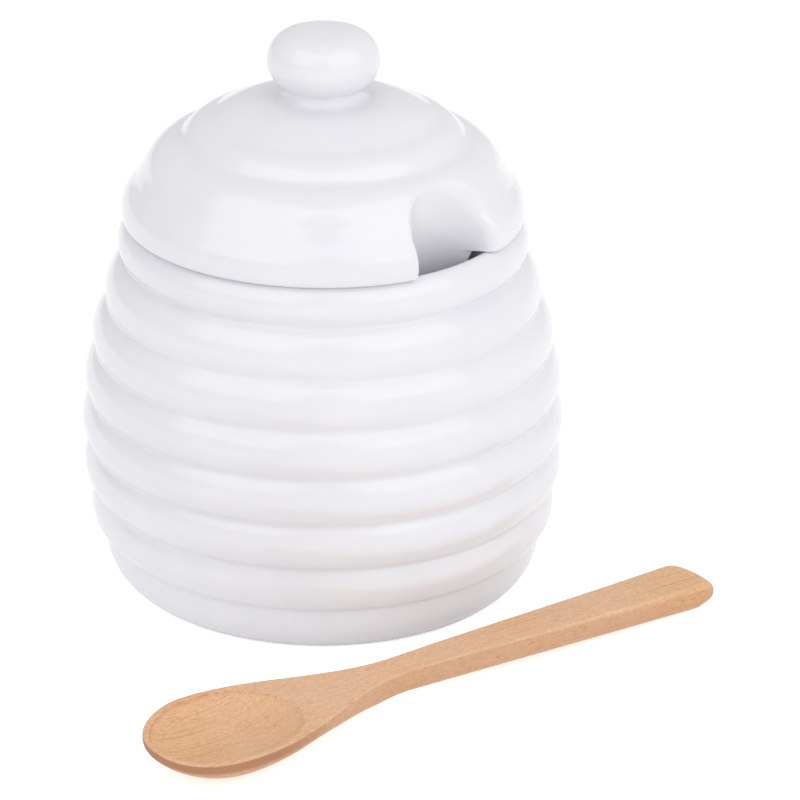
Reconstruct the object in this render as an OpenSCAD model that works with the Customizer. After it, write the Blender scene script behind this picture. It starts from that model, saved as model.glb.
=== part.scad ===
// Beehive honey pot: ribbed glazed pot, loose ribbed lid with a spoon notch,
// a knob luted on the lid, and a carved wooden spoon lying in front.
// Millimetres, +Z up. The origin is the centre of the pot's flat underside.

/* [Pot] */
// Height of the pot, from its underside to the flat rim that the lid sits on
pot_h = 82.6; // [68:0.1:100]
// Radius of the rib grooves at the widest height
belly_r = 50.7; // [42:0.1:61]
// Height of the widest groove circle
belly_z = 35; // [29:0.5:42]
// Radius of the barrel curve that the grooves follow
barrel_r = 100; // [90:1:130]
// How far the flat underside stays inside the widest groove circle
foot_inset = 8.7; // [7:0.1:11]
// Height of the plain band at the foot
base_band_h = 10.9; // [8:0.1:13.2]
// Number of full ribs between the base band and the top rib
rib_count = 6; // [4:1:7]
// How far the ribs stand out of the line between their grooves
rib_bulge = 2.2; // [1.2:0.1:2.8]
// Wall between the bottom of a groove and the inside
pot_wall = 3.6; // [3:0.1:5]
// Thickness of the floor
floor_t = 4.5; // [3.5:0.1:7]
// Radius of the inside corner between floor and wall
floor_corner_r = 12; // [6:0.5:15]
// Width of the flat rim between the mouth and the top rib
rim_w = 2.3; // [1.8:0.1:3.5]
// Radius of the rounded edge between mouth and rim
mouth_edge_r = 1.3; // [0.5:0.1:1.5]

/* [Lid] */
// Height of the domed shell above the rim, up to the collar under the knob
dome_h = 26.8; // [22.3:0.1:32.2]
// How far the lid's edge stands out past the pot's rim
lid_overhang = 2.1; // [0.5:0.1:2.5]
// How far each groove of the dome lies inside the lid's edge, from the lowest one up
lid_groove_inset = [4.4, 13.2, 19.5]; // [3:0.1:21]
// How far each groove of the dome lies below the collar, from the lowest one up
lid_groove_drop = [16.1, 8.6, 4]; // [3:0.1:17.5]
// How far each rib of the dome stands out, from the edge up
lid_rib_bulge = [1.1, 1.8, 1.1, 1.2]; // [0.8:0.1:2]
// Thickness of the dome under its crown
lid_wall = 4; // [3:0.1:5]
// Height above the rim at which the inside of the dome begins to curve
dome_spring_h = 6; // [4:0.1:7.5]
// Gap all round between the locating flange and the mouth
flange_gap = 0.9; // [0.5:0.1:1.6]
// Thickness of the locating flange
flange_t = 3; // [2.4:0.1:4]
// How deep the flange reaches into the mouth
flange_h = 6.5; // [5:0.1:8]

/* [Notch] */
// Direction of the spoon notch, turned from the front towards the right
notch_angle = 42.5; // [20:0.5:70]
// Free room on each side of the spoon's handle in the notch
notch_side_play = 5.4; // [4:0.1:8]
// Free room in front of and behind the handle, between notch wall and mouth
notch_depth_play = 1.1; // [0.9:0.1:1.9]
// Lean of the notch wall, outwards going up
notch_lean = 12; // [9:0.5:14]
// Thickness of the wall behind the notch
notch_wall = 3.4; // [2.8:0.1:4.2]
// Half width of the tongue behind the notch that reaches into the mouth
tongue_half_w = 8.5; // [7:0.1:9]

/* [Knob] */
// Radius of the flattened round knob
knob_r = 12.2; // [10.3:0.1:15]
// Height of the knob without its neck
knob_h = 14.4; // [12:0.1:17.3]
// How much the knob's flat caps rise above its round edge
knob_cap_rise = 0.7; // [0.4:0.1:1.2]
// Radius of the neck
neck_r = 8.2; // [6.8:0.1:9]
// Height of the neck that shows between collar and knob
neck_h = 1.4; // [1:0.1:4]
// Radius of the flare at the foot of the neck
collar_flare = 2.2; // [0.8:0.1:2.2]

/* [Spoon] */
// Whole length of the spoon
spoon_l = 143.5; // [120:0.5:173]
// Widest width of the bowl
bowl_w = 30.2; // [25:0.1:36]
// Length of the bowl from its tip to its widest place
bowl_nose_l = 16; // [13:0.5:19]
// Length of the hollow, from just behind the tip
hollow_l = 34; // [28:0.1:40]
// Depth of the hollow
bowl_depth = 5; // [3.5:0.1:5.6]
// Width of the flat rim around the hollow
bowl_rim_w = 1.7; // [1.2:0.1:2.5]
// Height of the bowl's rim above the table
bowl_rim_z = 8.6; // [7.6:0.1:10]
// Distance from the tip to the narrowest place of the handle
neck_from_tip = 62; // [54:0.1:70]
// Narrowest width of the handle, behind the bowl
neck_w = 7.4; // [6.2:0.1:8.9]
// Width of the handle near its end
handle_w = 13.2; // [11:0.1:15.9]
// Thickness of the handle
handle_t = 6; // [5:0.1:6.3]
// Free space between the pot and the handle beside it
spoon_clearance = 4; // [2:0.1:10]
// Direction of the spoon, turned from the right towards the back
spoon_angle = 38; // [20:1:50]
// How far the bowl's tip lies before the point nearest to the pot
spoon_start = 89; // [74:0.5:107.5]

/* [Hidden] */

glaze_colour = [0.93, 0.93, 0.95];
wood_colour = [0.87, 0.70, 0.52];
$fn = 96;
// Longer than anything here, for cuts that go right through
far = 200;
// How far a cut runs past the face that it opens
overrun = 1;
// How far the plain core behind the ribs stays inside their grooves
core_inset = 1.2;

// ---- pot: derived sizes
foot_r = belly_r - foot_inset;
// The top rib is cut off flat by the rim at this share of a full rib
top_rib_share = 0.83;
rib_pitch = (pot_h - base_band_h) / (rib_count + top_rib_share);
mouth_r = groove_r(groove_z(rib_count)) - pot_wall;
rim_r = mouth_r + rim_w;

// Height of groove k, counted upwards from the base band
function groove_z(k) = base_band_h + rib_pitch * k;
// Radius of the barrel curve at a height
function groove_r(z) = belly_r - barrel_r + sqrt(pow(barrel_r, 2) - pow(z - belly_z, 2));
function pot_groove(k) = [groove_r(groove_z(k)), groove_z(k)];

// ---- lid: derived sizes
lid_r = rim_r + lid_overhang;
collar_z = pot_h + dome_h;
collar_r = neck_r + collar_flare;
// The crease circles of the dome as points, from the lid's edge up to the collar
lid_creases = concat(
    [[lid_r, pot_h]],
    [for (k = [0:2]) [lid_r - lid_groove_inset[k], collar_z - lid_groove_drop[k]]],
    [[collar_r, collar_z]]);
flange_r = mouth_r - flange_gap;
flange_inner_r = flange_r - flange_t;
flange_low_z = pot_h - flange_h;
dome_inner_z = collar_z - lid_wall;
dome_rise = dome_inner_z - pot_h - dome_spring_h;
dome_inner_r = (pow(flange_inner_r, 2) + pow(dome_rise, 2)) / (2 * dome_rise);

// ---- notch: a leaning round cut, wide enough for the handle
notch_r = handle_w / 2 + notch_side_play;
notch_reach = mouth_r - handle_t - notch_depth_play;
notch_axis_r = notch_reach + notch_r;
// How far the gaps beside the tongue reach up into the lid's underside
gap_relief = 0.4;

// ---- knob: a round edge closed by two flatter caps that meet it smoothly
knob_edge_r = knob_h / 2 - knob_cap_rise;
knob_edge_x = knob_r - knob_edge_r;
knob_cap_shift = (pow(knob_edge_x, 2) - pow(knob_cap_rise, 2)) / (2 * knob_cap_rise);
knob_cap_r = knob_h / 2 + knob_cap_shift;
knob_tangent_x = knob_cap_r * knob_edge_x / (knob_cap_r - knob_edge_r);
knob_z = collar_z + neck_h + knob_h / 2;

// A rib: the circle through two groove points, standing out by a bulge
module rib(lower, upper, bulge) {
    chord = norm(upper - lower);
    r = (pow(chord / 2, 2) + pow(bulge, 2)) / (2 * bulge);
    along = (upper - lower) / chord;
    outward = [along[1], -along[0]];
    centre = (lower + upper) / 2 - outward * (r - bulge);
    translate(centre) circle(r);
}

// Only the half of a flat drawing on the right of the axis, between two heights
module right_half(bottom, top) {
    intersection() {
        children();
        translate([0, bottom]) square([far, top - bottom]);
    }
}

module pot_outline() {
    inwards = [core_inset, 0];
    right_half(0, pot_h) {
        polygon(concat(
            [[0, 0], [foot_r, 0] - inwards],
            [for (k = [0:rib_count]) pot_groove(k) - inwards],
            [[rim_r, pot_h] - inwards, [0, pot_h]]));
        rib([foot_r, 0], pot_groove(0), rib_bulge);
        for (k = [0:rib_count - 1])
            rib(pot_groove(k), pot_groove(k + 1), rib_bulge);
        rib(pot_groove(rib_count), [rim_r, pot_h], rib_bulge);
    }
}

// The inside: the barrel curve less the wall, a round floor corner, a straight mouth
// with a rounded edge
module pot_cavity() {
    inner_r = barrel_r - pot_wall;
    centre = [belly_r - barrel_r, belly_z];
    corner_z = floor_t + floor_corner_r;
    corner_x = centre[0] + sqrt(pow(inner_r - floor_corner_r, 2) - pow(corner_z - centre[1], 2));
    corner = [corner_x, corner_z];
    touch = centre + (corner - centre) * inner_r / (inner_r - floor_corner_r);
    mouth_z = groove_z(rib_count);
    difference() {
        right_half(floor_t, mouth_z) translate(centre) circle(inner_r);
        polygon([[corner_x, 0], [far, 0], [far, touch[1]], touch, corner]);
    }
    translate(corner) circle(floor_corner_r);
    translate([0, mouth_z - overrun]) square([mouth_r, pot_h - mouth_z + 2 * overrun]);
    difference() {
        translate([0, pot_h - mouth_edge_r]) square([mouth_r + mouth_edge_r, mouth_edge_r + overrun]);
        translate([mouth_r + mouth_edge_r, pot_h - mouth_edge_r]) circle(mouth_edge_r);
    }
}

module pot() {
    color(glaze_colour)
        rotate_extrude()
            difference() {
                pot_outline();
                pot_cavity();
            }
}

// The plain core stops short of the creases; its top passes the last rib's end
module lid_outline() {
    inwards = [core_inset, core_inset];
    polygon(concat(
        [[0, flange_low_z], [flange_r, flange_low_z], [flange_r, pot_h],
         [lid_r - core_inset, pot_h]],
        [for (k = [1:3]) lid_creases[k] - inwards],
        [[collar_r + core_inset / 2, collar_z], [0, collar_z]]));
    right_half(pot_h, far)
        for (k = [0:3])
            rib(lid_creases[k], lid_creases[k + 1], lid_rib_bulge[k]);
}

module lid_cavity() {
    intersection() {
        translate([0, flange_low_z - overrun]) square([flange_inner_r, far]);
        translate([0, dome_inner_z - dome_inner_r]) circle(dome_inner_r);
    }
}

// Turns a shape drawn along +X to the notch's direction
module towards_notch() {
    rotate([0, 0, notch_angle - 90]) children();
}

// The leaning round rod that cuts the notch, made thicker by the wall behind it
module notch_rod(extra) {
    towards_notch()
        translate([notch_axis_r, 0, pot_h])
            rotate([0, notch_lean, 0])
                cylinder(r = notch_r + extra, h = 2 * far, center = true);
}

// Clears the flange beside the tongue, on both sides
module flange_gaps() {
    low_z = flange_low_z - overrun;
    gap_h = flange_h + overrun + gap_relief;
    gap_w = notch_r - tongue_half_w + 2 * overrun;
    intersection() {
        translate([0, 0, low_z]) cylinder(r = flange_r + flange_gap / 2, h = gap_h);
        towards_notch()
            for (side = [-1, 1])
                translate([0, side * (tongue_half_w + gap_w / 2) - gap_w / 2, low_z - overrun])
                    cube([far, gap_w, gap_h + 2 * overrun]);
    }
}

module lid() {
    color(glaze_colour)
        difference() {
            rotate_extrude() lid_outline();
            notch_rod(0);
            flange_gaps();
            difference() {
                rotate_extrude() lid_cavity();
                notch_rod(notch_wall);
            }
        }
}

module knob_outline() {
    intersection() {
        translate([0, knob_z - knob_cap_shift]) circle(knob_cap_r);
        translate([0, knob_z + knob_cap_shift]) circle(knob_cap_r);
        translate([0, knob_z - knob_h]) square([knob_tangent_x, 2 * knob_h]);
    }
    translate([knob_edge_x, knob_z]) circle(knob_edge_r);
    translate([0, collar_z]) square([neck_r, knob_z - collar_z]);
    difference() {
        translate([0, collar_z]) square([collar_r, collar_flare]);
        translate([collar_r, collar_z + collar_flare]) circle(collar_flare);
    }
}

module lid_knob() {
    color(glaze_colour)
        rotate_extrude()
            right_half(collar_z, far) knob_outline();
}

// ---- spoon: a skin of cross-sections at places s along its length, from the tip
spoon_stations = 46;
section_points = 28;
// The skin starts and ends this far inside the whole length, with a small flat
end_flat = 0.3;
spoon_offset = belly_r + rib_bulge + spoon_clearance + handle_w / 2;
// Roundness of the blunt nose and of the handle's end: 2 is an ellipse
nose_power = 2.1;
end_power = 4;
// Radii of the handle's end on the side towards the viewer and on the far side
near_end_r = 1.2;
far_end_r = 3;
// The handle reaches its full width this far before its end
full_width_from_end = 11.7;
// Distance from the tip at which the hollow begins
hollow_start = 1.4;
// Thickness of the bowl's edge, and how much lower the rim is at the tip
bowl_edge_t = 1.6;
tip_drop = 1;
// The round underside of the bowl fades out this far behind its widest place
belly_fade_l = 33;
// Places between which the underside of the bowl becomes that of the handle
blend_start = 29.5;
blend_end = 55;
// How much the long edges of the handle are eased, below and above
low_easing = 2.8;
top_easing = 0.9;

// From 0 to 1 between two places, smooth at both
function ramp(x, a, b) = let (t = min(1, max(0, (x - a) / (b - a)))) t * t * (3 - 2 * t);
function mix(a, b, t) = a + (b - a) * t;
// A quarter of a rounded outline: 1 at t = 0 and 0 at t = 1
function quarter(t, power) = pow(max(0, 1 - pow(t, power)), 1 / power);

// Half width before the end is rounded off: blunt nose, smooth shoulder, taper
function half_w(s) =
    s < bowl_nose_l ? bowl_w / 2 * quarter((bowl_nose_l - s) / bowl_nose_l, nose_power)
    : s < neck_from_tip ? mix(neck_w, bowl_w, 0.5 + 0.5 * cos(180 * (s - bowl_nose_l)
                                                             / (neck_from_tip - bowl_nose_l))) / 2
    : mix(neck_w, handle_w, (s - neck_from_tip)
                            / (spoon_l - full_width_from_end - neck_from_tip)) / 2;
function end_round(s, r) = s < spoon_l - r ? 1 : quarter((s - spoon_l + r) / r, end_power);

// The top is level along the bowl and comes down to the handle's thickness at the end
function top_z(s) = bowl_rim_z - tip_drop * (1 - ramp(s, 0, bowl_nose_l))
    - (bowl_rim_z - handle_t) * max(0, (s - neck_from_tip) / (spoon_l - neck_from_tip));
function handle_low_z(s) = max(0, top_z(s) - handle_t);
// Depth of the hollow at a place on the bowl
function hollow(s, t) =
    let (a = (s - hollow_start - hollow_l / 2) / (hollow_l / 2),
         b = t / (bowl_w / 2 - bowl_rim_w))
    bowl_depth * pow(max(0, 1 - a * a - b * b), 0.75);
// Underside of the bowl: round across and along, level with the rim's edge at the tip
function bowl_low_z(s, u) =
    let (reach = s < bowl_nose_l ? bowl_nose_l : belly_fade_l,
         belly = pow(max(0, 1 - pow((s - bowl_nose_l) / reach, 2)), 0.8))
    (top_z(s) - bowl_edge_t) * (1 - belly * pow(max(0, 1 - u * u), 0.7));
function low_z(s, u) = mix(bowl_low_z(s, u), handle_low_z(s) + low_easing * pow(abs(u), 6),
                           ramp(s, blend_start, blend_end));
function high_z(s, t, u) = top_z(s) - hollow(s, t) - top_easing * pow(abs(u), 8);

// One ring of the skin: along the top from far to near, then back underneath
function section(s) = [for (i = [0:section_points - 1])
    let (a = 360 * i / section_points,
         u = cos(a),
         t = u * half_w(s) * end_round(s, u > 0 ? far_end_r : near_end_r))
    [s, t, sin(a) >= 0 ? high_z(s, t, u) : low_z(s, u)]];

module spoon_skin() {
    // Stations are closer together at both ends, where the outline turns
    places = [for (i = [0:spoon_stations])
        mix(end_flat, spoon_l - end_flat, (1 - cos(180 * i / spoon_stations)) / 2)];
    n = section_points;
    last = spoon_stations * n;
    polyhedron(
        points = [for (s = places) each section(s)],
        faces = concat(
            [[for (i = [0:n - 1]) i]],
            [for (j = [0:spoon_stations - 1], i = [0:n - 1])
                [j * n + i, (j + 1) * n + i, (j + 1) * n + (i + 1) % n, j * n + (i + 1) % n]],
            [[for (i = [n - 1:-1:0]) last + i]]));
}

module spoon() {
    color(wood_colour)
        rotate([0, 0, spoon_angle])
            translate([-spoon_start, -spoon_offset, 0])
                spoon_skin();
}

pot();
lid();
lid_knob();
spoon();
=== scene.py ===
"""Looks of a beehive honey pot: glazed pot, lid and knob, and a wooden spoon.

Lengths of the pot, lid, knob and spoon are in millimetres, as in the construction, and
become metres where a mesh is made. Materials, room and camera are in metres where nothing
else is said.
"""

import math

import bpy
import numpy as np
from mathutils import Matrix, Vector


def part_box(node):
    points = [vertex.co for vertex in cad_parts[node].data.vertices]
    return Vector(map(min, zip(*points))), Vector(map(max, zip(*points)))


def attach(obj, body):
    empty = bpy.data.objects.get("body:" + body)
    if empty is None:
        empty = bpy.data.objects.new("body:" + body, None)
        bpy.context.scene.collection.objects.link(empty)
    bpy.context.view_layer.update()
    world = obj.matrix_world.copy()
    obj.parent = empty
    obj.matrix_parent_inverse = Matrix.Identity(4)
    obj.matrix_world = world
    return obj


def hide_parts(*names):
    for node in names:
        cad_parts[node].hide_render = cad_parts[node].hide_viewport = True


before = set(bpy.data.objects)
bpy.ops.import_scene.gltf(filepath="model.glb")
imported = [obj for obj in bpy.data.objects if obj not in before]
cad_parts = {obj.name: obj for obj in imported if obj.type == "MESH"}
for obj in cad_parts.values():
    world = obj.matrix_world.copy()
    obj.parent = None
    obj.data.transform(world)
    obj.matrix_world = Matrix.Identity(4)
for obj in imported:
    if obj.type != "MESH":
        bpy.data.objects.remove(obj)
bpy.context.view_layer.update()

MM = 0.001

# ---- sizes of the construction -------------------------------------------------
POT_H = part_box("pot")[1][2] / MM
BELLY_R = 50.7
BELLY_Z = 35.0
BARREL_R = 100.0
FOOT_R = BELLY_R - 8.7
BASE_BAND_H = 10.9
RIB_COUNT = 6
RIB_BULGE = 2.2
TOP_RIB_SHARE = 0.83
POT_WALL = 3.6
FLOOR_T = 4.5
FLOOR_CORNER_R = 12.0
RIM_W = 2.3
MOUTH_EDGE_R = 1.3
THROAT_RISE = 1.0           # the mouth goes straight down to this far over the top groove

DOME_H = 26.8
LID_OVERHANG = 2.1
LID_WALL = 4.0
DOME_SPRING_H = 6.0
FLANGE_GAP = 0.9
FLANGE_T = 3.0
FLANGE_H = 6.5

NOTCH_ANGLE = 42.5
NOTCH_R = 12.0
NOTCH_WALL = 3.4
SPOON_PASSAGE = 7.1

KNOB_R = 12.2
KNOB_H = 14.4
KNOB_CAP_RISE = 0.7
NECK_R = 8.2
NECK_H = 1.4
COLLAR_FLARE = 2.2

SPOON_L = 143.5
BOWL_W = 30.2
BOWL_NOSE_L = 16.0
BOWL_DEPTH = 5.0
BOWL_RIM_Z = 8.6
BOWL_EDGE_T = 1.6
TIP_DROP = 1.0
NECK_FROM_TIP = 62.0
SPOON_NECK_W = 7.4
HANDLE_W = 13.2
HANDLE_T = 6.0
FULL_WIDTH_FROM_END = 11.7
SPOON_CLEARANCE = 4.0
SPOON_OFFSET = BELLY_R + RIB_BULGE + SPOON_CLEARANCE + HANDLE_W / 2
SPOON_ANGLE = 38.0
SPOON_START = 89.0

# ---- sizes that depart from the construction to follow the photo ----------------
# The hollow's roundness, the handle's end and the spoon's edges depart too, see the spoon
LID_EDGE_INSET = 0.5        # how far the lower edge draws in under the lowest rib
LID_GROOVE_INSET = (3.5, 4.9, 13.2, 19.5)
LID_GROOVE_DROP = (18.1, 15.6, 8.6, 4.0)
LID_RIB_BULGE = (1.5, 0.3, 1.7, 1.1, 1.2)
NOTCH_LEAN = 9.0
NOTCH_LEFT_HALF_W = 10.3    # the notch's left half is narrower and squarer than its right
NOTCH_LEFT_POWER = 2.8      # 2 is round
TONGUE_HALF_W = 7.7
HOLLOW_START = 0.8
HOLLOW_L = 32.8
BOWL_RIM_W = 1.2

# ---- finish --------------------------------------------------------------------
GLAZE_WHITE = (0.83, 0.825, 0.86)
GLAZE_SOFTENING = 0.45      # how far glaze rounds a crease or an edge
POOLED_SOFTENING = 0.95     # the same on the dome, where it is thicker
POOLED_FROM = 7.0           # height over the pot where the thicker coat begins
POOLED_FADE = 1.5           # half the height over which one coat becomes the other
SEAT_GAP = 0.12             # film of air between lid and rim, where they aren't ground flat
LEFT_LIP, RIGHT_LIP = 1.0, 3.2  # roundness of the notch's lips
LIP_TURNS = (-4, 12)        # degrees from the notch's middle where one becomes the other
KNOB_SINK = 0.05            # how far the knob's foot is fused into the lid
KNOB_ROOT = 1.5             # width and depth of the knob's root, hidden in the lid

# ---- fineness of the meshes ------------------------------------------------------
FINE_STEP = 0.05
ARC_STEP = 0.2
POT_STEP, POT_TURNS = 0.4, 384
KNOB_STEP, KNOB_TURNS = 0.3, 160
LID_STEP, LID_TURN_STEP = 0.36, 1.0     # turn steps in degrees
NOTCH_SPAN, NOTCH_TURN_STEP = 28, 0.25
SPOON_STATIONS, SPOON_ACROSS = 420, 61


# ---- outlines ------------------------------------------------------------------
def arc(start, end, bulge):
    """Points of the circle through start and end that stands out by bulge, to the right
    of the way."""
    start, end = np.array(start, float), np.array(end, float)
    chord = np.linalg.norm(end - start)
    r = (chord ** 2 / 4 + bulge ** 2) / (2 * bulge)
    along = (end - start) / chord
    outward = np.array([along[1], -along[0]])
    centre = (start + end) / 2 - outward * (r - bulge)
    half = math.asin(min(1.0, chord / 2 / r))
    count = max(4, int(2 * half * r / ARC_STEP))
    turn = np.linspace(-half, half, count)
    return centre + r * (np.outer(np.cos(turn), outward) + np.outer(np.sin(turn), along))


def circle_arc(centre, r, start, end, count):
    """Points of a circle from one direction to another, in degrees."""
    turn = np.radians(np.linspace(start, end, count))
    return np.array(centre) + r * np.stack([np.cos(turn), np.sin(turn)], 1)


def even(points, spacing):
    """The same line with its points evenly apart."""
    shortest = 1e-6
    points = np.array(points, float)
    steps = np.linalg.norm(np.diff(points, axis=0), axis=1)
    points = points[np.concatenate([[True], steps > shortest])]
    steps = np.linalg.norm(np.diff(points, axis=0), axis=1)
    length = np.concatenate([[0], np.cumsum(steps)])
    places = np.linspace(0, length[-1], max(2, round(length[-1] / spacing)) + 1)
    return np.stack([np.interp(places, length, points[:, k]) for k in (0, 1)], 1)


def rounded(fine, softening):
    """A finely spaced outline from axis to axis with its corners rounded, by a running
    mean whose weights are a bell curve as wide as the softening."""
    reach = int(4 * softening / FINE_STEP)
    weights = np.exp(-0.5 * (np.arange(-reach, reach + 1) * FINE_STEP / softening) ** 2)
    weights /= weights.sum()
    # Past the axis the outline goes on mirrored, so that it stays level there
    mirror = np.array([-1, 1])
    before, after = fine[reach:0:-1] * mirror, fine[-2:-reach - 2:-1] * mirror
    padded = np.concatenate([before, fine, after])
    return np.stack([np.convolve(padded[:, k], weights, "valid") for k in (0, 1)], 1)


def smooth_step(x, start, end):
    """0 up to start and 1 from end on, with a smooth rise between them."""
    t = np.clip((x - start) / (end - start), 0, 1)
    return t * t * (3 - 2 * t)


def softened(points, spacing, softer_above=None):
    """An outline whose corners are rounded as a coat of glaze rounds them, and more so
    where the glaze pools above a height."""
    fine = even(points, FINE_STEP)
    outline = rounded(fine, GLAZE_SOFTENING)
    if softer_above is not None:
        share = smooth_step(outline[:, 1:], softer_above - POOLED_FADE,
                            softer_above + POOLED_FADE)
        outline += share * (rounded(fine, POOLED_SOFTENING) - outline)
    outline[0, 0] = outline[-1, 0] = 0
    return even(outline, spacing)


# ---- meshes --------------------------------------------------------------------
def make_mesh(name, points, faces, body, slot, node):
    """A smooth-shaded piece that stands for a CAD node; points in millimetres."""
    mesh = bpy.data.meshes.new(name)
    mesh.from_pydata((points * MM).tolist(), [], faces)
    mesh.validate()
    mesh.shade_smooth()
    piece = bpy.data.objects.new(name, mesh)
    bpy.context.collection.objects.link(piece)
    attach(piece, body)
    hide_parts(node)
    return piece


def turned(name, rings, **facts):
    """A closed skin of rings round the axis. rings[i, j] is the point of outline place i at
    turn j; the first and the last ring lie on the axis and become one point each."""
    count, turns = rings.shape[:2]
    inner = rings[1:-1].reshape(-1, 3)
    points = np.concatenate([rings[:1, 0], inner, rings[-1:, 0]])
    last = len(points) - 1
    last_ring = 1 + (count - 3) * turns
    faces = []
    for j in range(turns):
        k = (j + 1) % turns
        faces.append((0, 1 + k, 1 + j))
        faces.append((last, last_ring + j, last_ring + k))
    index = 1 + np.arange((count - 2) * turns).reshape(count - 2, turns)
    ahead = np.roll(index, -1, axis=1)
    quads = np.stack([index[:-1], ahead[:-1], ahead[1:], index[1:]], -1).reshape(-1, 4)
    return make_mesh(name, points, faces + quads.tolist(), **facts)


def revolved(outline, turns):
    """Rings of an outline (radius, height) at evenly spaced turns."""
    angle = np.linspace(0, 2 * np.pi, turns, endpoint=False)
    r = outline[:, :1]
    return np.stack([r * np.cos(angle), r * np.sin(angle),
                     np.repeat(outline[:, 1:], turns, axis=1)], -1)


# ---- pot -----------------------------------------------------------------------
RIB_PITCH = (POT_H - BASE_BAND_H) / (RIB_COUNT + TOP_RIB_SHARE)


def groove(k):
    """Groove k of the pot, counted upwards from the base band: radius and height."""
    z = BASE_BAND_H + RIB_PITCH * k
    return BELLY_R - BARREL_R + math.sqrt(BARREL_R ** 2 - (z - BELLY_Z) ** 2), z


MOUTH_R = groove(RIB_COUNT)[0] - POT_WALL
RIM_R = MOUTH_R + RIM_W


def pot_outline():
    """From the centre of the underside, up the ribs, over the rim and down the inside."""
    creases = [(FOOT_R, 0)] + [groove(k) for k in range(RIB_COUNT + 1)] + [(RIM_R, POT_H)]
    outside = [arc(a, b, RIB_BULGE) for a, b in zip(creases, creases[1:])]
    inner_r = BARREL_R - POT_WALL
    centre = np.array([BELLY_R - BARREL_R, BELLY_Z])
    corner_z = FLOOR_T + FLOOR_CORNER_R
    corner = np.array([centre[0] + math.sqrt((inner_r - FLOOR_CORNER_R) ** 2
                                             - (corner_z - BELLY_Z) ** 2), corner_z])
    mouth_z = groove(RIB_COUNT)[1]
    top = math.degrees(math.asin((mouth_z - BELLY_Z) / inner_r))
    toward = math.degrees(math.atan2(*(corner - centre)[::-1]))
    inside = circle_arc(centre, inner_r, top, toward, count=120)
    floor_corner = circle_arc(corner, FLOOR_CORNER_R, toward, -90, count=40)
    mouth_edge = circle_arc((MOUTH_R + MOUTH_EDGE_R, POT_H - MOUTH_EDGE_R), MOUTH_EDGE_R,
                            90, 180, count=16)
    return np.concatenate([[(0, 0)]] + outside
                          + [mouth_edge, [(MOUTH_R, mouth_z + THROAT_RISE)], inside,
                             floor_corner, [(0, FLOOR_T)]])


def make_pot():
    outline = softened(pot_outline(), POT_STEP)
    return turned("honey_pot", revolved(outline, POT_TURNS), body="pot", slot="pot_glaze",
                  node="pot")


# ---- lid -----------------------------------------------------------------------
LID_R = RIM_R + LID_OVERHANG
LID_Z = POT_H + SEAT_GAP
COLLAR_Z = POT_H + DOME_H
COLLAR_R = NECK_R + COLLAR_FLARE
FLANGE_R = MOUTH_R - FLANGE_GAP
FLANGE_INNER_R = FLANGE_R - FLANGE_T
FLANGE_Z = POT_H - FLANGE_H
NOTCH_AXIS_R = MOUTH_R - SPOON_PASSAGE + NOTCH_R
RAY_CENTRE_Z = POT_H + 3.0  # the rays that meet the lid's skin are level up to here
NEAR_NOTCH = 45             # degrees from its middle within which its wall is looked for


def lid_outline():
    """The lid without its notch: the outside down to the flange's foot, then the inside."""
    creases = [(LID_R - LID_EDGE_INSET, LID_Z)]
    for inset, drop in zip(LID_GROOVE_INSET, LID_GROOVE_DROP):
        creases.append((LID_R - inset, COLLAR_Z - drop))
    creases.append((COLLAR_R, COLLAR_Z))
    ribs = [arc(a, b, bulge) for a, b, bulge in zip(creases, creases[1:], LID_RIB_BULGE)]
    outside = np.concatenate(ribs)[::-1]
    dome_z = COLLAR_Z - LID_WALL
    rise = dome_z - POT_H - DOME_SPRING_H
    dome_r = (FLANGE_INNER_R ** 2 + rise ** 2) / (2 * rise)
    spring = math.degrees(math.asin((dome_r - rise) / dome_r))
    dome = circle_arc((0, dome_z - dome_r), dome_r, spring, 90, count=80)
    foot = [(FLANGE_R, LID_Z), (FLANGE_R, FLANGE_Z), (FLANGE_INNER_R, FLANGE_Z)]
    return np.concatenate([[(0, COLLAR_Z)], outside, foot, dome])


def from_notch_axis(points):
    """Distance of points from the leaning axis of the notch's wall, which is round on the
    right and a little narrower and squarer on the left."""
    lean = math.radians(NOTCH_LEAN)
    offset = points - np.array([NOTCH_AXIS_R, 0, POT_H])
    outward = np.abs(offset @ np.array([math.cos(lean), 0, -math.sin(lean)]))
    on_left = offset[..., 1] < 0
    sideways = np.abs(offset[..., 1]) * np.where(on_left, NOTCH_R / NOTCH_LEFT_HALF_W, 1)
    power = np.where(on_left, NOTCH_LEFT_POWER, 2.0)
    return (outward ** power + sideways ** power) ** (1 / power)


def soft_max(a, b, softening):
    """The larger of two, with a smooth passage where they are nearly equal."""
    near = np.maximum(softening - np.abs(a - b), 0) / softening
    return np.maximum(a, b) + near ** 2 * softening / 4


def pulled_in(reach, origin, direction, wall_r, softening):
    """Where rays meet the lid's skin: at reach, or before it at the notch's wall."""
    innermost_share, halvings, hair = 0.4, 26, 0.003
    near, far = innermost_share * reach, reach.copy()
    for _ in range(halvings):
        middle = (near + far) / 2
        at = origin + direction * middle[..., None]
        outside = soft_max(middle - reach, wall_r - from_notch_axis(at), softening) > 0
        near = np.where(outside, near, middle)
        far = np.where(outside, middle, far)
    met = (near + far) / 2
    # Points that would fall together keep a hair's breadth apart
    return met + hair * (reach - met)


def flange_share(away):
    """How much of the flange's height is left at a turn from the notch, in degrees: all of
    it on the tongue and past the notch, next to none in the gap between them."""
    past_notch, least = 2, 0.02
    tongue = math.degrees(math.asin(TONGUE_HALF_W / (NOTCH_AXIS_R - NOTCH_R)))
    resumes = math.degrees(math.asin((NOTCH_R + past_notch) / FLANGE_R))
    # Each end slopes from a degree within the flange to two degrees out in the gap
    within, out = 1, 2
    away = np.abs(away)
    share = (1 - smooth_step(away, tongue - within, tongue + out)
             + smooth_step(away, resumes - out, resumes + within))
    return least + (1 - least) * share


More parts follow.
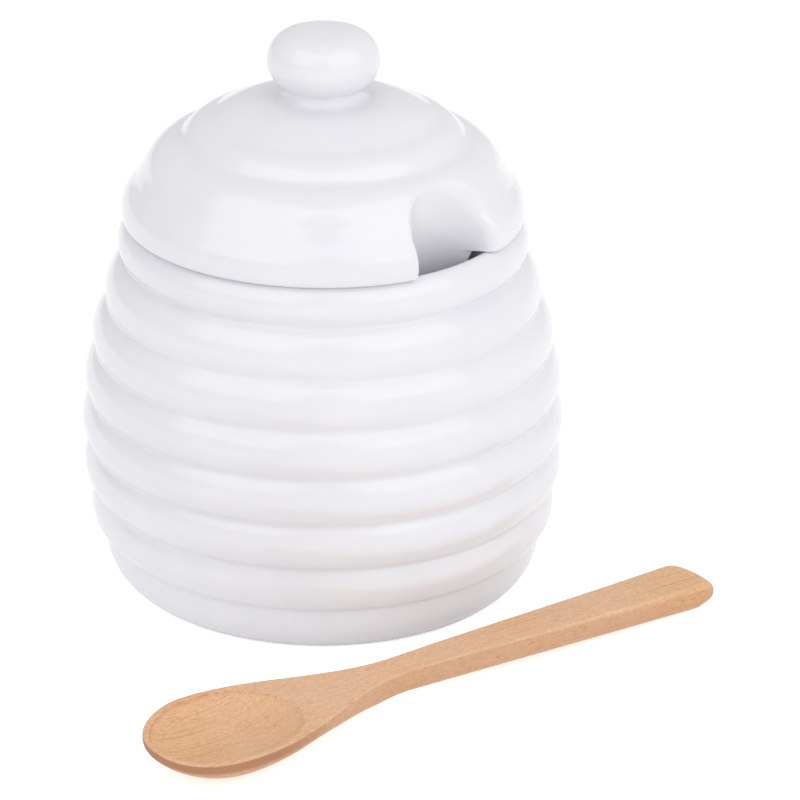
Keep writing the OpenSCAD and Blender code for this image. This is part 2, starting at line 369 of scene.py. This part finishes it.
def make_lid():
    outline = softened(lid_outline(), LID_STEP, softer_above=POT_H + POOLED_FROM)
    # The lowest place, and the innermost one where several are as low
    foot = int(np.argmin(outline[:, 1] + 0.001 * outline[:, 0]))
    is_outside = np.arange(len(outline)) <= foot
    # Turns from the notch's middle, closer together across it
    turn = np.concatenate([np.arange(-NOTCH_SPAN, NOTCH_SPAN, NOTCH_TURN_STEP),
                           np.arange(NOTCH_SPAN, 360 - NOTCH_SPAN, LID_TURN_STEP)])
    away = (turn + 180) % 360 - 180
    angle = np.radians(turn)

    r = np.repeat(outline[:, :1], len(turn), axis=1)
    z = np.repeat(outline[:, 1:], len(turn), axis=1)
    z = np.where(z < POT_H, POT_H - (POT_H - z) * flange_share(away), z)
    # Level rays below the rays' centre, and rays from that one point above it
    origin_z = np.minimum(z, RAY_CENTRE_Z)
    reach = np.hypot(r, z - origin_z)
    safe = np.maximum(reach, 1e-9)
    direction = np.stack([r / safe * np.cos(angle), r / safe * np.sin(angle),
                          (z - origin_z) / safe], -1)
    origin = np.stack([np.zeros_like(z), np.zeros_like(z), origin_z], -1)
    wall = np.where(is_outside, NOTCH_R, NOTCH_R + NOTCH_WALL)[:, None]
    across = np.abs(away) < NEAR_NOTCH
    lip = LEFT_LIP + (RIGHT_LIP - LEFT_LIP) * smooth_step(away, *LIP_TURNS)
    met = reach.copy()
    met[:, across] = pulled_in(reach[:, across], origin[:, across], direction[:, across],
                               wall, lip[across])
    rings = origin + direction * met[..., None]
    heading = Matrix.Rotation(math.radians(NOTCH_ANGLE - 90), 3, "Z")
    rings = rings @ np.array(heading).T
    # From the collar down the outside and back up the inside runs against a turned skin
    return turned("pot_lid", rings[::-1], body="lid", slot="lid_glaze", node="lid")


# ---- knob ----------------------------------------------------------------------
def knob_outline():
    """From the centre of the neck's foot, out over the flare and round the knob."""
    edge_r = KNOB_H / 2 - KNOB_CAP_RISE
    edge_x = KNOB_R - edge_r
    shift = (edge_x ** 2 - KNOB_CAP_RISE ** 2) / (2 * KNOB_CAP_RISE)
    cap_r = KNOB_H / 2 + shift
    z = COLLAR_Z + NECK_H + KNOB_H / 2
    slope = math.degrees(math.atan2(shift, edge_x))
    foot_z, root_r = COLLAR_Z - KNOB_SINK, COLLAR_R + KNOB_ROOT
    flare = circle_arc((COLLAR_R, foot_z + COLLAR_FLARE), COLLAR_FLARE, -90, -180, count=16)
    under = math.sqrt(edge_r ** 2 - (NECK_R - edge_x) ** 2)
    start = -math.degrees(math.atan2(under, NECK_R - edge_x))
    edge = circle_arc((edge_x, z), edge_r, start, slope, count=60)
    cap = circle_arc((0, z - shift), cap_r, slope, 90, count=40)
    # Its root reaches into the lid's clay, so that the glaze runs on without a seam
    root = [(0, foot_z - KNOB_ROOT), (root_r, foot_z - KNOB_ROOT), (root_r, foot_z)]
    return np.concatenate([root, flare, edge, cap])


def make_knob():
    outline = softened(knob_outline(), KNOB_STEP)
    return turned("lid_knob_glazed", revolved(outline, KNOB_TURNS), body="lid",
                  slot="knob_glaze", node="lid_knob")


# ---- spoon ---------------------------------------------------------------------
NOSE_POWER, END_POWER = 2.1, 3      # squareness of the bowl's nose and the handle's end
FAR_END_R, NEAR_END_R = 4.0, 1.2    # corners of the handle's end
HOLLOW_POWER = 0.7                  # the lower, the flatter the hollow's floor
BELLY_L = 33.0                      # where the bowl's belly ends behind its widest place
BELLY_POWER, BELLY_SIDE_POWER = 0.8, 0.7    # fullness of the belly along and across
# Places along the spoon where the bowl's underside becomes the handle's, where the lower
# edge grows rounder, and where the upper one does
BOWL_TO_HANDLE, LOW_EDGE_GROWS, TOP_EDGE_GROWS = (29.5, 55), (28, 58), (70, 130)
TOP_EDGE_R, TOP_EDGE_MORE = 0.45, 0.9
LOW_EDGE_R, LOW_EDGE_MORE = 0.6, 2.6
END_LIFT, END_LIFT_L = 1.2, 4.5     # the underside rises towards the handle's end


def quarter(t, power):
    """A quarter of a rounded outline: 1 at t = 0 and 0 at t = 1."""
    return np.maximum(0, 1 - np.clip(t, 0, 1) ** power) ** (1 / power)


def half_width(s, end_r):
    """Half the spoon's width at a place along it, the end rounded by end_r."""
    nose = BOWL_W / 2 * quarter((BOWL_NOSE_L - s) / BOWL_NOSE_L, NOSE_POWER)
    swing = np.cos(np.pi * (s - BOWL_NOSE_L) / (NECK_FROM_TIP - BOWL_NOSE_L))
    shoulder = (SPOON_NECK_W + (BOWL_W - SPOON_NECK_W) * (0.5 + 0.5 * swing)) / 2
    taper_l = SPOON_L - FULL_WIDTH_FROM_END - NECK_FROM_TIP
    handle = (SPOON_NECK_W + (HANDLE_W - SPOON_NECK_W) * (s - NECK_FROM_TIP) / taper_l) / 2
    width = np.where(s < BOWL_NOSE_L, nose, np.where(s < NECK_FROM_TIP, shoulder, handle))
    return width * quarter((s - SPOON_L + end_r) / end_r, END_POWER)


def top_height(s):
    """Height of the spoon's top before its hollow: level, but lower at the tip and
    sinking along the handle."""
    drop = np.maximum(0, (s - NECK_FROM_TIP) / (SPOON_L - NECK_FROM_TIP))
    return (BOWL_RIM_Z - TIP_DROP * (1 - smooth_step(s, 0, BOWL_NOSE_L))
            - (BOWL_RIM_Z - HANDLE_T) * drop)


def eased(inside, r):
    """How much a rounded edge of radius r has dropped at a distance inside the outline."""
    short = np.clip(r - inside, 0, r)
    return r - np.sqrt(np.maximum(0, r * r - short * short))


def spoon_heights(s, t, u, inside):
    """Top and underside of the spoon at places s along and t across, where u is t as a
    share of the half width and inside the distance from the outline."""
    a = (s - HOLLOW_START - HOLLOW_L / 2) / (HOLLOW_L / 2)
    b = t / (BOWL_W / 2 - BOWL_RIM_W)
    hollow = BOWL_DEPTH * np.maximum(0, 1 - a * a - b * b) ** HOLLOW_POWER
    top_edge_r = TOP_EDGE_R + TOP_EDGE_MORE * smooth_step(s, *TOP_EDGE_GROWS)
    top = top_height(s) - hollow - eased(inside, top_edge_r)
    fade = np.where(s < BOWL_NOSE_L, BOWL_NOSE_L, BELLY_L)
    belly = np.maximum(0, 1 - ((s - BOWL_NOSE_L) / fade) ** 2) ** BELLY_POWER
    round_across = np.maximum(0, 1 - u * u) ** BELLY_SIDE_POWER
    bowl = (top_height(s) - BOWL_EDGE_T) * (1 - belly * round_across)
    handle = (np.maximum(0, top_height(s) - HANDLE_T)
              + END_LIFT * smooth_step(s, SPOON_L - END_LIFT_L, SPOON_L))
    low = bowl + (handle - bowl) * smooth_step(s, *BOWL_TO_HANDLE)
    low_edge_r = LOW_EDGE_R + LOW_EDGE_MORE * smooth_step(s, *LOW_EDGE_GROWS)
    return top, low + eased(inside, low_edge_r)


def make_spoon():
    # The stations stop a hair short of both ends, where the width would be nothing
    hair, step = 0.02, 0.01
    turn = np.linspace(0, np.pi, SPOON_STATIONS)
    s = hair + (SPOON_L - 2 * hair) * (1 - np.cos(turn)) / 2
    u = np.sin(np.linspace(-np.pi / 2, np.pi / 2, SPOON_ACROSS))
    s_grid, u_grid = np.meshgrid(s, u, indexing="ij")
    end_r = np.where(u_grid > 0, FAR_END_R, NEAR_END_R)
    half = half_width(s_grid, end_r)
    t = u_grid * half
    slant = (half_width(s_grid + step, end_r) - half_width(s_grid - step, end_r)) / (2 * step)
    inside = (half - np.abs(t)) / np.sqrt(1 + slant ** 2)
    top, low = spoon_heights(s_grid, t, u_grid, inside)
    # Each ring runs along the top from far to near and back underneath
    ring_t = np.concatenate([t[:, ::-1], t], axis=1)
    ring_z = np.concatenate([top[:, ::-1], low], axis=1)
    ring_s = np.repeat(s[:, None], ring_t.shape[1], axis=1)
    rings = np.stack([ring_s - SPOON_START, ring_t - SPOON_OFFSET, ring_z], -1)
    heading = np.array(Matrix.Rotation(math.radians(SPOON_ANGLE), 3, "Z"))
    points = (rings @ heading.T).reshape(-1, 3)
    n = ring_t.shape[1]
    index = np.arange(SPOON_STATIONS * n).reshape(SPOON_STATIONS, n)
    ahead = np.roll(index, -1, axis=1)
    quads = np.stack([index[:-1], index[1:], ahead[1:], ahead[:-1]], -1).reshape(-1, 4)
    faces = quads.tolist() + [index[0].tolist(), index[-1][::-1].tolist()]
    return make_mesh("wooden_spoon", points, faces, body="spoon", slot="spoon_wood",
                     node="spoon")


# ---- materials -----------------------------------------------------------------
class Nodes:
    """Short way to add shader nodes to a material."""

    def __init__(self, name):
        self.material = bpy.data.materials.new(name)
        self.material.use_nodes = True
        self.tree = self.material.node_tree
        self.shader = self.tree.nodes["Principled BSDF"]

    def add(self, kind, inputs=None, **settings):
        node = self.tree.nodes.new("ShaderNode" + kind)
        for key, value in settings.items():
            setattr(node, key, value)
        for key, value in (inputs or {}).items():
            if isinstance(value, bpy.types.NodeSocket):
                self.tree.links.new(value, node.inputs[key])
            else:
                node.inputs[key].default_value = value
        return node

    def math(self, operation, a, b=0.0):
        return self.add("Math", {0: a, 1: b}, operation=operation).outputs[0]

    def mix(self, share, a, b):
        """Colour a where share is 0 and b where it is 1, by the node's colour sockets."""
        node = self.add("Mix", {0: share, 6: a, 7: b}, data_type="RGBA")
        return node.outputs[2]

    def ramp(self, value, low, high):
        """0 at low and past it, 1 at high and past it, straight in between."""
        return self.add("MapRange",
                        {"Value": value, "From Min": low, "From Max": high}).outputs[0]

    def between(self, value, low, high):
        """From low to high as value goes from 0 to 1."""
        return self.add("MapRange",
                        {"Value": value, "To Min": low, "To Max": high}).outputs[0]

    def noise(self, space, scale, detail):
        return self.add("TexNoise", {"Vector": space, "Scale": scale,
                                     "Detail": detail}).outputs["Fac"]

    def coordinate(self, vector, axis):
        return self.add("SeparateXYZ", {"Vector": vector}).outputs[axis]

    def give(self, socket, value):
        if isinstance(value, bpy.types.NodeSocket):
            self.tree.links.new(value, self.shader.inputs[socket])
        else:
            self.shader.inputs[socket].default_value = value

    def give_bump(self, height, strength, distance):
        bump = self.add("Bump", {"Height": height, "Strength": strength,
                                 "Distance": distance})
        self.give("Normal", bump.outputs[0])


THICK_GLAZE = tuple(c * f for c, f in zip(GLAZE_WHITE, (0.965, 0.97, 0.985))) + (1,)
CLAY_DARK, CLAY_PALE = (0.66, 0.60, 0.52, 1), (0.78, 0.73, 0.66, 1)
CLAY_ROUGHNESS = 0.8
# In millimetres: how unevenly a bare band ends, how far it fades out, and the bands
BARE_RAGGEDNESS = 0.4
BARE_FADE = 0.1
POT_BARE = [(-1, 0.1)]
LID_BARE = [(FLANGE_Z - 1, FLANGE_Z + 0.3)]


def glaze(name, bare=()):
    """Glossy white glaze, slightly uneven, a little darker and cooler where it is thick.
    bare lists the bands of height, in millimetres, where the clay stays unglazed so that it
    doesn't stick in the kiln."""
    n = Nodes(name)
    place = n.add("TexCoord").outputs["Object"]
    cloud = n.noise(place, 55.0, 3.0)
    fine = n.noise(place, 900.0, 2.0)
    wave = n.noise(place, 90.0, 1.0)
    colour = n.mix(n.ramp(cloud, 0.35, 0.65), THICK_GLAZE, GLAZE_WHITE + (1,))
    roughness = n.between(fine, 0.10, 0.18)
    ragged = n.math("ADD", n.coordinate(place, "Z"),
                    n.math("MULTIPLY", cloud, BARE_RAGGEDNESS * MM))
    for low, high in bare:
        above = n.ramp(ragged, (low - BARE_FADE) * MM, low * MM)
        below = n.ramp(ragged, (high + BARE_FADE) * MM, high * MM)
        share = n.math("MULTIPLY", above, below)
        colour = n.mix(share, colour, n.mix(fine, CLAY_DARK, CLAY_PALE))
        roughness = n.math("MAXIMUM", roughness, n.math("MULTIPLY", share, CLAY_ROUGHNESS))
    n.give("Base Color", colour)
    n.give("Roughness", roughness)
    n.give("IOR", 1.52)
    skin = n.math("ADD", wave, n.math("MULTIPLY", fine, 0.02))
    n.give_bump(skin, strength=0.25, distance=0.0003)
    return n.material


WOOD_PALE, WOOD_ROSY = (0.80, 0.475, 0.25, 1), (0.80, 0.495, 0.30, 1)
LATE_WOOD = (0.56, 0.27, 0.125, 1)
FIBRE = (0.60, 0.33, 0.17, 1)
DARK_SPECK, PALE_SPECK = (0.58, 0.31, 0.16, 1), (0.93, 0.66, 0.42, 1)
PORE = (0.36, 0.17, 0.08, 1)
# Painted shade: the colour that darkens faces turned sideways, away from the light
SIDE_SHADE_PAINT = (0.43, 0.195, 0.10, 1)
HEART = (0, -0.130, -0.012)     # where the growth rings' axis passes beside the spoon
RINGS_PER_METRE = 1150.0
RING_WANDER = 5.0               # how far the rings stray, in rings
# Painted shade on the spoon's sides grows from the first of these places along it to the
# second
HANDLE_SIDE, BOWL_SIDE = -0.050, -0.068


def wood(name):
    """Pale sanded wood: growth rings round an axis beside the spoon, fibres, specks and
    short dark pores along it, and painted shade on its sides, most of all round the bowl."""
    n = Nodes(name)
    place = n.add("TexCoord").outputs["Object"]
    along = n.add("Mapping", {"Vector": place, "Rotation": (0, 0, -math.radians(SPOON_ANGLE))},
                  vector_type="POINT").outputs[0]

    def drawn_out(share):
        """Space squeezed along the spoon, where any pattern comes out long."""
        return n.add("Mapping", {"Vector": along, "Scale": (share, 1, 1)}).outputs[0]

    def vector_math(operation, a, b=(0, 0, 0), output="Vector"):
        return n.add("VectorMath", {0: a, 1: b}, operation=operation).outputs[output]

    fibre_space = drawn_out(0.07)
    wander = n.noise(fibre_space, 60.0, 2.0)
    from_heart = vector_math("MULTIPLY", vector_math("SUBTRACT", along, HEART), (0, 1, 1))
    radius = vector_math("LENGTH", from_heart, output="Value")
    ring_place = n.math("ADD", n.math("MULTIPLY", radius, RINGS_PER_METRE),
                        n.math("MULTIPLY", wander, RING_WANDER))
    rings = n.add("TexNoise", {"W": ring_place, "Scale": 1.0, "Detail": 2.0},
                  noise_dimensions="1D").outputs["Fac"]
    fibre = n.noise(fibre_space, 2600.0, 3.0)
    patch = n.noise(place, 45.0, 2.0)
    specks = n.noise(drawn_out(0.4), 2400.0, 2.0)
    pores = n.noise(drawn_out(0.22), 2300.0, 1.0)

    colour = n.mix(n.ramp(patch, 0.42, 0.6), WOOD_PALE, WOOD_ROSY)
    late_wood = n.math("MULTIPLY", n.ramp(rings, 0.53, 0.64), n.ramp(patch, 0.65, 0.35))
    upward = n.math("ABSOLUTE", n.coordinate(n.add("NewGeometry").outputs["True Normal"], "Z"))
    on_bowl = n.ramp(n.coordinate(along, "X"), HANDLE_SIDE, BOWL_SIDE)
    # The last of these stains is painted shade on faces that turn sideways, strongest round
    # the bowl
    for where, strength, stain in (
            (late_wood, 0.5, LATE_WOOD),
            (n.ramp(fibre, 0.4, 0.7), 0.24, FIBRE),
            (n.ramp(specks, 0.48, 0.66), 0.3, DARK_SPECK),
            (n.ramp(specks, 0.45, 0.32), 0.3, PALE_SPECK),
            (n.ramp(pores, 0.66, 0.74), 0.35, PORE),
            (n.ramp(upward, 0.75, 0.3), n.between(on_bowl, 0.36, 0.95), SIDE_SHADE_PAINT)):
        colour = n.mix(n.math("MULTIPLY", where, strength), colour, stain)
    n.give("Base Color", colour)
    n.give("Roughness", n.between(fibre, 0.5, 0.72))
    grain = n.math("SUBTRACT", fibre, n.math("MULTIPLY", n.ramp(pores, 0.62, 0.74), 0.8))
    n.give_bump(grain, strength=0.5, distance=0.0002)
    return n.material


# ---- room ----------------------------------------------------------------------
FLOOR_HALF_W = 6.0
FLOOR_Z = -0.00005          # just under the things that stand on it
FLOOR_WHITE = (0.95, 0.95, 0.95, 1)
FLOOR_LIFT, FLOOR_LIFT_IN_GLAZE = 0.62, 0.25
# A light level is the first number, plus the second times how far right it comes from
ROOM_LIGHT = (0.82, 0.03)
ROOM_IN_GLAZE = (0.85, 0.25)
LAMP_TARGET = (0, 0, 0.05)
# Name, azimuth and elevation in degrees, distance, width, height and radiance of a lamp
LAMPS = [
    ("fill_left", -30, 35, 1.2, 0.9, 0.9, 0.10),
    ("fill_right", 35, 35, 1.2, 0.9, 0.9, 0.11),
    ("fill_top", 0, 80, 1.2, 1.2, 1.2, 0.25),
    ("low_left", -50, 6, 1.2, 1.0, 0.5, 0.98),
    ("low_right", 50, 6, 1.2, 1.0, 0.5, 0.6),
    ("into_notch", 43, 27, 1.2, 0.5, 0.4, 2.2),
]
MIRRORED_LAMPS = [
    ("mirror_left", -46, 45, 0.9, 0.9, 0.8, 1.12),
    ("mirror_right", 50, 45, 0.9, 0.9, 0.8, 1.12),
]


def make_floor():
    """A wide white floor."""
    w, z = FLOOR_HALF_W, FLOOR_Z
    mesh = bpy.data.meshes.new("floor")
    mesh.from_pydata([(-w, -w, z), (w, -w, z), (w, w, z), (-w, w, z)], [], [(0, 1, 2, 3)])
    floor = bpy.data.objects.new("floor", mesh)
    bpy.context.collection.objects.link(floor)
    n = Nodes("floor_white")
    n.give("Base Color", FLOOR_WHITE)
    n.give("Roughness", 0.9)
    n.give("Specular IOR Level", 0.0)
    # To the camera the floor is lifted to white, all but its shadows. A reflection shows it
    # lifted less, because it doesn't clip to white before the glaze adds to it
    path = n.add("LightPath")
    in_glaze = n.math("MULTIPLY", path.outputs["Is Glossy Ray"], FLOOR_LIFT_IN_GLAZE)
    straight = n.math("MULTIPLY", path.outputs["Is Camera Ray"], FLOOR_LIFT)
    n.give("Emission Color", (1, 1, 1, 1))
    n.give("Emission Strength", n.math("MAXIMUM", straight, in_glaze))
    mesh.materials.append(n.material)


def softbox(name, azimuth, elevation, distance, width, height, radiance, mirrored=False):
    """A lamp that looks at the pot. Azimuth 0 is the camera's side, positive to the right.
    A mirrored one is only seen reflected in the glaze, and the others never are."""
    light = bpy.data.lights.new(name, "AREA")
    light.shape = "RECTANGLE"
    light.size = width
    light.size_y = height
    light.energy = radiance * math.pi * width * height
    lamp = bpy.data.objects.new(name, light)
    bpy.context.collection.objects.link(lamp)
    lamp.visible_diffuse = not mirrored
    lamp.visible_glossy = mirrored
    a, e = math.radians(azimuth), math.radians(elevation)
    turn = Matrix.Rotation(a, 4, "Z") @ Matrix.Rotation(math.radians(90) - e, 4, "X")
    lamp.matrix_world = (Matrix.Translation(LAMP_TARGET) @ turn
                         @ Matrix.Translation((0, 0, distance)))


def make_world():
    """An even white tent, a little brighter on the right. The camera sees it plain white."""
    world = bpy.data.worlds.new("studio")
    bpy.context.scene.world = world
    world.use_nodes = True
    tree = world.node_tree

    def add(kind, *inputs, **settings):
        """A node whose first inputs are given in order."""
        node = tree.nodes.new("ShaderNode" + kind)
        for key, value in settings.items():
            setattr(node, key, value)
        for socket, value in zip(node.inputs, inputs):
            if isinstance(value, bpy.types.NodeSocket):
                tree.links.new(value, socket)
            else:
                socket.default_value = value
        return node

    rightward = add("SeparateXYZ", add("TexCoord").outputs["Generated"]).outputs["X"]

    def level(at_middle, to_the_right):
        return add("Math", rightward, to_the_right, at_middle,
                   operation="MULTIPLY_ADD").outputs[0]

    path = add("LightPath")
    to_camera, to_glaze = path.outputs["Is Camera Ray"], path.outputs["Is Glossy Ray"]
    light = tree.nodes["Background"]
    light.inputs["Color"].default_value = (1, 1, 1, 1)
    tree.links.new(level(*ROOM_LIGHT), light.inputs["Strength"])
    # In a reflection the tent is a little darker on the left, where it gives the pot an
    # outline
    shown = add("Math", level(*ROOM_IN_GLAZE), to_camera, operation="MAXIMUM").outputs[0]
    seen = add("Background")
    tree.links.new(shown, seen.inputs["Strength"])
    either = add("Math", to_camera, to_glaze, operation="MAXIMUM").outputs[0]
    mixed = add("MixShader", either, light.outputs[0], seen.outputs[0])
    tree.links.new(mixed.outputs[0], tree.nodes["World Output"].inputs["Surface"])


def make_camera():
    """The photograph's view, fitted to the pot's grooves."""
    elevation, roll, distance = 23.5, 0.57, 0.900
    aim = (0.01689, 0.0, 0.03925)
    data = bpy.data.cameras.new("camera")
    data.sensor_width = 36.0
    data.lens = 184.3
    data.clip_start, data.clip_end = 0.05, 50
    camera = bpy.data.objects.new("camera", data)
    bpy.context.collection.objects.link(camera)
    camera.matrix_world = (Matrix.Translation(aim)
                           @ Matrix.Rotation(math.radians(90 - elevation), 4, "X")
                           @ Matrix.Rotation(math.radians(roll), 4, "Z")
                           @ Matrix.Translation((0, 0, distance)))
    bpy.context.scene.camera = camera


# ---- scene ---------------------------------------------------------------------
bpy.context.scene.view_settings.view_transform = "Standard"
make_camera()
make_pot().data.materials.append(glaze("pot_glaze_white", bare=POT_BARE))
make_lid().data.materials.append(glaze("lid_glaze_white", bare=LID_BARE))
make_knob().data.materials.append(glaze("knob_glaze_white"))
make_spoon().data.materials.append(wood("spoon_wood_pale"))
make_floor()
make_world()
for lamp_facts in LAMPS:
    softbox(*lamp_facts)
for lamp_facts in MIRRORED_LAMPS:
    softbox(*lamp_facts, mirrored=True)

bpy.context.view_layer.update()
